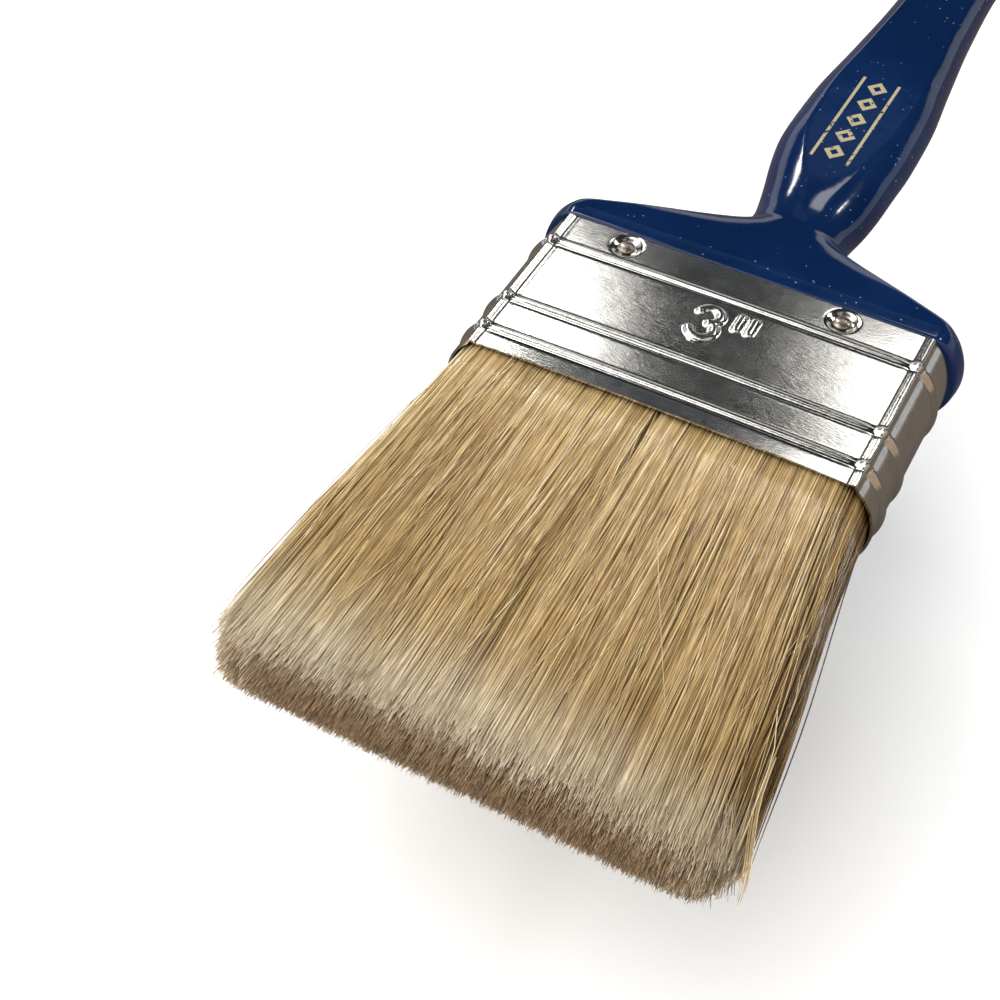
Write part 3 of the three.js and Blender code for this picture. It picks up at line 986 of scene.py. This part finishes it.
def tip_lean(y):
    """How far the pack leans to the right at level y."""
    return TIP_LEAN * np.clip(-y / PACK_LENGTH, 0, 1) ** 2


def place(u, v, y):
    """Brush coordinates of pack coordinates at level y, before any straying."""
    squeeze = 1 - 0.70 * smoothstep(y, -0.5, 3)
    crown = CROWN * np.clip(1 - u * u, 0, 1) * np.exp(y / 25) * squeeze
    x = u * pack_half_width(y) + tip_lean(y)
    z = v * (pack_half_thickness(y) + crown)
    return x, z


def column(values):
    """One value per bristle, ready to spread over its rings."""
    return values[:, None]


def by_face(v):
    """Which bristles stand for each free bank of the frame."""
    return (("front", "bristles_front", v >= 0), ("back", "bristles_back", v < 0))


class Locks:
    """Neighbouring bristles gather in locks, and each lock has its own place, drift, tone and trim."""

    COUNT = 340
    ADRIFT = 0.22

    def __init__(self, s, rng):
        count = len(s)
        self.s = np.sort(rng.uniform(0, BAND_LENGTH, self.COUNT))
        own = np.searchsorted(self.s, s) % self.COUNT
        adrift = rng.random(count) < self.ADRIFT
        self.member = np.where(adrift, rng.integers(-3, 4, count) + own, own) % self.COUNT
        self.u, self.v = outline_place(self.s)
        self.drift = rng.normal(0, 0.5, self.COUNT)
        self.tone = rng.normal(0, 0.048, self.COUNT)
        self.depth = rng.uniform(0, 0.05, self.COUNT)

    def each(self, values):
        """Every bristle's own lock's value."""
        return values[self.member]


OUTER_RINGS = 11
OUTER_DEPTH = 0.26
ROOT_Y = 3.4


def outer_paths(u, v, depth, locks, rng):
    """The outer bristles' levels, middles and radii, one row each."""
    count = len(u)
    inward = 1 - depth
    on_front = v > 0
    ragged = np.where(on_front, 1.0, 0.45)
    trim = rng.normal(0, 0.7, count) + rng.exponential(1.1, count)
    tips = tip_level(u * inward, v * inward) + trim * ragged
    tips += locks.each(rng.normal(0.2, 0.75, locks.COUNT)) * np.where(on_front, 1.0, 0.3)
    along = np.linspace(0, 1, OUTER_RINGS)[None, :] ** 0.9
    y = ROOT_Y + (column(tips) - ROOT_Y) * along
    gather = 0.42 * smoothstep(-y, 8, 52) * (1 - 0.45 * smoothstep(-y, 56, 70))
    reach = inward * (1 - locks.each(locks.depth))
    uu = column(u * inward) * (1 - gather) + column(locks.each(locks.u) * reach) * gather
    vv = column(v * inward) * (1 - gather * 0.6) + column(locks.each(locks.v) * reach) * gather * 0.6
    x, z = place(uu, vv, y)
    fade = smoothstep(-y, -1, 60)
    stray = rng.normal(0, 0.60, count) * (1 + 1.8 * (rng.random(count) < 0.15))
    stray *= 1 - 0.75 * smoothstep(np.abs(u), 0.84, 1.0)
    wave = column(rng.uniform(0.08, 0.34, count))
    period = column(rng.uniform(5, 13, count))
    bow = wave * np.sin(-y / period + column(rng.uniform(0, 6.3, count))) * smoothstep(-y, -2, 12)
    x = x + column(locks.each(locks.drift) + stray) * fade + bow
    z = z + column(rng.normal(0, 0.12, count)) * fade - 0.4 * np.abs(bow) * np.sign(z)
    x = part_cleft(x, y, z)
    thick = column(rng.uniform(0.10, 0.165, count))
    radii = thick * (1 - 0.48 * smoothstep(along, 0.7, 1.0)) * np.ones_like(y)
    return y, np.stack([x, y, z], -1), radii


def outer_colours(s, u, y, depth, locks, rng):
    """Each outer bristle's colours: tan with cream flagged ends, painted highlights near the mouth and on a
    few hairs, and painted shade deeper in, towards the sides and most on the right.
    """
    count = len(u)
    bands = 0.03 * np.sin(s / BAND_LENGTH * 2 * math.pi * 9 + 1.3) + 0.03 * np.sin(s / 3.1)
    # The - 0.45 * depth term is painted shade: hairs lying deeper under the surface are darker.
    tone = 0.52 + locks.each(locks.tone) + bands + rng.normal(0, 0.115, count) - 0.45 * depth
    # Painted shade: darker towards both side edges, and more towards the right one.
    tone = tone - 0.20 * smoothstep(np.abs(u), 0.93, 1.0) - 0.10 * smoothstep(u, 0.90, 1.0)
    right = column(smoothstep(u, -0.1, 0.9))
    # The last term is a painted highlight: hairs are paler towards the mouth, where they shine, less so on
    # the right.
    tone = column(tone) + rng.normal(0, 0.03, y.shape) + (0.15 - 0.12 * right) * smoothstep(y, -26, -2)
    # Painted shade over the right half of the pack.
    tone = tone - 0.02 - 0.09 * right
    # Painted glints: a few hairs are paler along their upper part, where they would shine.
    painted_glint = (rng.random(count) < 0.16) * rng.uniform(0.2, 0.55, count)
    tone = tone + column(painted_glint) * smoothstep(y, -62, -20)
    # Painted shade on the right side edge: darker there, with the blue cut most so it looks warmer.
    painted_warm_shade = smoothstep(u, 0.86, 1.0)[:, None, None] * np.array((0.06, 0.16, 0.34))
    colours = shade_of(TAN, tone) * (1 - painted_warm_shade)
    corner = column(smoothstep(-u, 0.70, 0.97))
    # The cream flagged ends are the hairs' own colour; their starting later and being fainter on the right
    # is painted shade.
    pale = smoothstep(-y, 48 - 5 * corner + 4 * right, 67) * (1 - 0.30 * right)
    pale = pale * column((1.2 - 1.2 * depth).clip(0, 1)) * column(rng.uniform(0.62, 1.2, count))
    pale = (pale + 0.25 * corner * smoothstep(-y, 50, 66)).clip(0, 1)
    cream = CREAM * rng.uniform(0.84, 1.0, count)[:, None, None]
    colours = toward_colour(colours, cream, pale[..., None])
    # Some hairs turn taupe at their very ends: partly darker tips, partly painted shade of the blunt end.
    darkened = (rng.random(count) < 0.18)[:, None, None] * smoothstep(-y, 67.5, 70.5)[..., None]
    end = shade_of(TAUPE, rng.uniform(0.3, 1, count))[:, None, :]
    return toward_colour(colours, end, darkened * 0.8)


def add_outer_bristle(material, count, rng):
    """The bristles of the pack's skin, as deep as a quarter of its thickness."""
    s = rng.uniform(0, BAND_LENGTH, count)
    u, v = outline_place(s)
    depth = rng.beta(1.1, 2.2, count) * OUTER_DEPTH
    locks = Locks(s, rng)
    y, centres, radii = outer_paths(u, v, depth, locks, rng)
    colours = outer_colours(s, u, y, depth, locks, rng)
    for word, node, half in by_face(v):
        for hand, side in (("left", u < 0), ("right", u >= 0)):
            chosen = half & side
            strand_object(
                f"bristle_{word}_{hand}", centres[chosen], radii[chosen], colours[chosen],
                material, rng, node,
            )


TIP_RINGS = 6
TIP_ROOT_Y = -48.0


def add_tip_bristle(material, count, rng):
    """The bristles inside the pack, of which only the last part shows, at the blunt end, with painted shade
    towards the back face and deeper in.
    """
    phi = rng.uniform(0, 2 * math.pi, count)
    r = np.sqrt(rng.uniform(0, 1, count)) * 0.93
    spread = outline_reach(phi, pack_x, pack_z)
    u, v = r * spread * np.cos(phi), r * spread * np.sin(phi)
    flat = rng.random(count) < 0.75
    u = np.where(flat, rng.uniform(-0.95, 0.95, count), u)
    v = np.where(flat, rng.uniform(-0.92, 0.92, count), v)
    beyond = np.clip(np.abs(u) * BAND_HALF_WIDTH - SIDE_CENTRE, 0, SIDE_RADIUS - 0.5)
    roof = np.sqrt(SIDE_RADIUS**2 - beyond**2) / BAND_HALF_THICKNESS - 0.10
    v = np.clip(v, -np.minimum(roof, 0.95), np.minimum(roof, 0.95))
    tips = tip_level(u, v) + rng.normal(0, 0.28, count) + rng.exponential(0.45, count)
    along = np.linspace(0, 1, TIP_RINGS)[None, :]
    y = TIP_ROOT_Y + (column(tips) - TIP_ROOT_Y) * along
    gathered = 0.84 + 0.16 * smoothstep(along, 0.0, 0.8)
    x, z = place(column(u) * gathered, column(v) * gathered, y)
    splay = along**3
    curl = np.sin(y * 1.1 + column(rng.uniform(0, 6.3, count)))
    x = x + (column(rng.normal(0, 0.8, count)) + 0.25 * curl) * splay
    z = z + column(rng.normal(0, 0.55, count)) * splay
    centres = np.stack([x, y, z], -1)
    thick = column(rng.uniform(0.06, 0.11, count))
    radii = thick * (1 - 0.6 * smoothstep(along, 0.4, 1.0)) * np.ones_like(y)
    # The + 0.22 * v term is painted shade: the end's hairs are darker towards the back face.
    tone = column(rng.uniform(0.15, 1.0, count) + 0.22 * v - 0.05) * np.ones_like(y)
    near = np.maximum(smoothstep(v, 0.30, 0.92), smoothstep(-u, 0.80, 0.97) * smoothstep(v, -0.9, 0.3))
    near = (near * rng.uniform(0.4, 1.0, count))[:, None, None]
    colours = toward_colour(shade_of(TAUPE, tone), CREAM, near * 0.85)
    # Painted shade: darker further into the pack, away from the blunt end.
    colours = colours * (0.55 + 0.45 * smoothstep(-y, 56, 68))[..., None]
    for word, node, chosen in by_face(v):
        strand_object(
            f"bristle_tips_{word}", centres[chosen], radii[chosen], colours[chosen], material, rng, node,
        )


STRAY_RINGS = 8
SPLAYED_COUNT = 16
SPLAYED_U = 0.965
SPLAYED_V = 0.45


def add_stray_bristle(material, count, rng):
    """Loose hairs that lie across the others, the first few splayed out of the right tip corner."""
    splayed = np.arange(count) < SPLAYED_COUNT
    u, v = outline_place(rng.uniform(0, BAND_LENGTH, count))
    u[splayed] = SPLAYED_U
    v[splayed] = SPLAYED_V
    start = rng.uniform(-46, 1, count)
    length = rng.uniform(16, 46, count)
    end = np.maximum(start - length, tip_level(u, v) + rng.uniform(-1.5, 4, count))
    start = np.maximum(start, end + 8)
    start[splayed] = TIP_ROOT_Y
    end[splayed] = rng.uniform(-70.5, -66.5, SPLAYED_COUNT)
    along = np.linspace(0, 1, STRAY_RINGS)[None, :]
    y = column(start) + column(end - start) * along
    aligned = rng.random(count) < 0.6
    slope = np.where(aligned, rng.normal(0, 0.05, count), rng.normal(0, 0.16, count))
    bend = rng.normal(0, 0.9, count)
    x, z = place(column(u) * 1.004, column(v) * 1.01, y)
    x = x + column(slope) * (column(start) - y) + column(bend) * along * along
    arch = np.sin(math.pi * np.clip(along * 0.8 + 0.1, 0, 1))
    lift = column(rng.uniform(0.02, 0.30, count)) * arch
    z = z + column(np.sign(v) * (np.abs(v) > 0.8)) * lift
    limit = pack_half_width(y) - 1.3
    x = np.clip(x, tip_lean(y) - limit, tip_lean(y) + limit)
    side_x, side_z = place(SPLAYED_U, SPLAYED_V, y)
    out = side_x + column(rng.uniform(-0.6, 0.5, count)) + 2.6 * smoothstep(-y, 50, 70) ** 1.5
    x = np.where(column(splayed), out, x)
    z = np.where(column(splayed), side_z + column(rng.normal(0, 0.5, count)), z)
    centres = np.stack([x, y, z], -1)
    radii = column(rng.uniform(0.06, 0.10, count)) * (1 - 0.5 * along) * np.ones_like(y)
    colours = shade_of(TAN, column(rng.uniform(0.55, 1.05, count)) * np.ones_like(y))
    for word, node, chosen in by_face(v):
        strand_object(
            f"bristle_strays_{word}", centres[chosen], radii[chosen], colours[chosen], material, rng, node,
        )


CORE_SECTIONS = (
    # y, share of the pack's thickness
    (3.0, 0.86),
    (0.0, 0.86),
    (-10.0, 0.84),
    (-20.0, 0.83),
    (-30.0, 0.82),
    (-40.0, 0.81),
    (-50.0, 0.80),
    (-56.0, 0.76),
    (-60.0, 0.66),
    (-62.5, 0.45),
    (-63.5, 0.20),
)


def add_core(material):
    """The depth of the pack under its outer bristles, a body darkened as painted shade."""
    phi = np.linspace(0, 2 * math.pi, 96, endpoint=False)
    outline = outline_reach(phi, pack_x, pack_z)
    rings = []
    for y, scale in CORE_SECTIONS:
        u = outline * np.cos(phi) * (1 - (1 - scale) * 0.45)
        v = outline * np.sin(phi) * scale
        level = np.full(len(phi), y)
        x, z = place(u, v, level)
        rings.append(np.stack([x, level, z], -1))
    obj = add_loft(
        "bristle_depth_painted_shade", rings,
        [0, CORE_SECTIONS[0][0], 0],
        [TIP_LEAN * 0.75, CORE_SECTIONS[-1][0], 0],
    )
    fix_normals(obj, 60)
    obj.data.materials.append(material)
    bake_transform(obj)
    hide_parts("bristles_front", "bristles_back")


def depth_shade_material():
    m = Nodes("bristle_depth_painted_shade")
    streak = m.noise(1.0, detail=4, vector=m.stretched((1800, 60, 1800)))
    # Painted shade: these dark browns stand for the shade deep inside the hair.
    m.set(Base_Color=m.ramp(streak, (0.3, (0.17, 0.105, 0.042)), (0.7, (0.38, 0.25, 0.11))), Roughness=0.7)
    return m.material


# ---------------------------------------------------------------- studio
# In metres. The floor lies this far under the brush, so that the flexed tips stay above it.
FLOOR_DROP = 0.036
SWEEP_RADIUS = 3.4


def toward(azimuth, elevation, distance):
    """A point that far from the brush; azimuth is from +Y towards +X, in degrees."""
    a, e = math.radians(azimuth), math.radians(elevation)
    return mouth + Vector((math.sin(a) * math.cos(e), math.cos(a) * math.cos(e), math.sin(e))) * distance


def add_patch(name, corners, distance, tone, strength=0.0, lights=False, steps=10):
    """A studio panel curved round the brush, its four corners given as directions (azimuth, elevation).

    The camera never sees it. It shows in reflections, and with lights set it also lights matt surfaces.
    """
    (a0, e0), (a1, e1), (a2, e2), (a3, e3) = corners
    vertices = []
    for v in np.linspace(0, 1, steps + 1):
        for u in np.linspace(0, 1, steps + 1):
            low_a, low_e = a0 + (a1 - a0) * u, e0 + (e1 - e0) * u
            high_a, high_e = a3 + (a2 - a3) * u, e3 + (e2 - e3) * u
            azimuth, elevation = low_a + (high_a - low_a) * v, low_e + (high_e - low_e) * v
            vertices.append(tuple(toward(azimuth, elevation, distance)))
    width = steps + 1
    faces = [
        (k * width + j, k * width + j + 1, (k + 1) * width + j + 1, (k + 1) * width + j)
        for k in range(steps)
        for j in range(steps)
    ]
    mesh = bpy.data.meshes.new(name)
    mesh.from_pydata(vertices, [], faces)
    obj = bpy.data.objects.new(name, mesh)
    scene.collection.objects.link(obj)
    m = Nodes(name)
    m.set(Base_Color=(0, 0, 0, 1) if strength else (*tone, 1), Roughness=0.9)
    m.fixed(Emission_Color=(*tone, 1), Emission_Strength=strength, Specular_IOR_Level=0.0)
    mesh.materials.append(m.material)
    obj.visible_camera = False
    obj.visible_shadow = False
    obj.visible_diffuse = lights
    return obj


def add_dome():
    """A white sweep all round, which only the camera sees."""
    mesh = bpy.data.meshes.new("white_sweep")
    around = np.radians(np.arange(0, 360, 10))
    levels = [(SWEEP_RADIUS, -0.2), (SWEEP_RADIUS, 1.2), (2.6, 2.4), (1.2, 3.1), (0.1, 3.3)]
    vertices = [(r * math.cos(t), r * math.sin(t), z) for r, z in levels for t in around]
    faces = [tuple(int(v) for v in q) for q in grid_quads(len(levels), len(around))]
    mesh.from_pydata(vertices, [], faces)
    dome = bpy.data.objects.new("white_sweep", mesh)
    scene.collection.objects.link(dome)
    m = Nodes("white_sweep")
    m.set(Base_Color=(0, 0, 0, 1), Roughness=1.0)
    m.fixed(Specular_IOR_Level=0.0, Emission_Color=(1, 1, 1, 1), Emission_Strength=1.0)
    mesh.materials.append(m.material)
    dome.visible_diffuse = False
    dome.visible_glossy = False
    dome.visible_transmission = False
    dome.visible_shadow = False


def add_sun(name, azimuth, elevation, strength, spread, colour):
    data = bpy.data.lights.new(name, "SUN")
    data.energy = strength
    data.angle = math.radians(spread)
    data.color = colour
    obj = bpy.data.objects.new(name, data)
    scene.collection.objects.link(obj)
    obj.location = toward(azimuth, elevation, 1.5)
    obj.rotation_mode = "QUATERNION"
    obj.rotation_quaternion = (mouth - obj.location).to_track_quat("-Z", "Y")


def add_disc(name, z, m):
    """A wide round ground at height z."""
    around = np.radians(np.arange(0, 360, 10))
    outline = [(SWEEP_RADIUS * math.cos(a), SWEEP_RADIUS * math.sin(a), 0) for a in around]
    mesh = bpy.data.meshes.new(name)
    mesh.from_pydata(outline, [], [tuple(range(len(outline)))])
    obj = bpy.data.objects.new(name, mesh)
    scene.collection.objects.link(obj)
    obj.location = (0, 0, z)
    mesh.materials.append(m.material)
    return obj


def add_ground():
    """The pale floor, and the warm mid grey that glossy surfaces see in its place, as in a dim room."""
    floor_z = cad_low.z - FLOOR_DROP
    m = Nodes("pale_floor")
    tone = m.ramp(m.noise(6, detail=2), (0.3, (0.90, 0.90, 0.90)), (0.7, (0.93, 0.93, 0.93)))
    m.set(Base_Color=tone, Roughness=0.8)
    m.fixed(Emission_Color=(1, 1, 1, 1), Emission_Strength=0.14)
    add_disc("floor", floor_z, m)
    m = Nodes("warm_ground")
    m.set(Base_Color=(0.13, 0.11, 0.092, 1), Roughness=0.9)
    m.fixed(Specular_IOR_Level=0.0)
    ground = add_disc("warm_ground", floor_z + 0.001, m)
    ground.visible_camera = False
    ground.visible_diffuse = False
    ground.visible_shadow = False
    ground.visible_transmission = False


WHITE = (1.0, 0.99, 0.97)
COOL = (0.74, 0.86, 1.0)
FACET_COOL = (0.70, 0.86, 1.0)
BLACK = (0.012, 0.012, 0.014)
WARM = (0.35, 0.265, 0.19)
# Name, corners as (azimuth, elevation), distance, colour, strength, and whether it lights matt surfaces.
PANELS = (
    ("left_back_panel", [(-48, 38), (-27, 38), (-28, 52), (-48, 52)], 1.2, WHITE, 5.9, True),
    ("left_back_edge", [(-27, 38), (-23.8, 38), (-25.5, 50), (-28, 52)], 1.21, WHITE, 1.7, True),
    ("right_back_panel", [(-10.5, 40), (8, 40), (8, 50), (-3.5, 50)], 1.2, WHITE, 4.0, True),
    ("right_back_edge", [(-12.5, 40), (-10.5, 40), (-3.5, 50), (-6, 50)], 1.21, WHITE, 1.2, True),
    ("back_low_panel", [(-60, 2), (12, 2), (12, 11), (-60, 11)], 1.5, WHITE, 0.8, True),
    ("left_low_panel", [(-108, 0), (-62, 0), (-62, 26), (-108, 26)], 1.2, COOL, 0.9, True),
    ("facet_panel", [(-24, 29.5), (-3, 29.5), (-3, 35), (-24, 35)], 1.2, FACET_COOL, 0.16, True),
    ("left_glint", [(-45, 25), (-37, 25), (-37, 33), (-45, 33)], 1.2, WHITE, 18, True),
    ("right_glint", [(30, 37), (38, 37), (38, 45), (30, 45)], 1.2, WHITE, 30, True),
    ("dark_back", [(-62, 12), (75, 12), (75, 88), (-62, 88)], 1.6, BLACK, 0.0, False),
    ("dark_top", [(-88, 84), (88, 84), (88, 118), (-88, 118)], 1.61, BLACK, 0.0, False),
    ("warm_right", [(52, -40), (128, -40), (128, 26), (52, 26)], 0.9, WARM, 1.35, False),
)


def add_studio():
    """The ground, the sweep, a soft sun from the left and the panels that the plate and lacquer mirror."""
    add_ground()
    add_dome()
    world = bpy.data.worlds.new("studio")
    scene.world = world
    world.use_nodes = True
    background = world.node_tree.nodes["Background"]
    background.inputs["Color"].default_value = (0.96, 0.98, 1.0, 1)
    background.inputs["Strength"].default_value = 0.60
    world.cycles.sampling_method = "NONE"
    add_sun("key_light", -124, 58, 2.15, 66, (1.0, 0.975, 0.94))
    for panel in PANELS:
        add_patch(*panel)
    scene.view_settings.view_transform = "Standard"
    scene.view_settings.look = "None"


# ---------------------------------------------------------------- assembly
add_handle(lacquer_material())
add_ferrule(plate_material())
add_nails(nail_material())
bristle = bristle_material()
generator = np.random.default_rng(1203)
add_outer_bristle(bristle, 9600, generator)
add_tip_bristle(bristle, 9500, generator)
add_stray_bristle(bristle, 420, generator)
add_core(depth_shade_material())
for name, material in (
    ("epoxy_setting", resin_material()),
    ("plug_left", softwood_material()),
    ("plug_right", softwood_material()),
    ("bristle_roots_front", fibre_material()),
    ("bristle_roots_back", fibre_material()),
):
    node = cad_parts[name]
    node.data.materials.clear()
    node.data.materials.append(material)
add_studio()
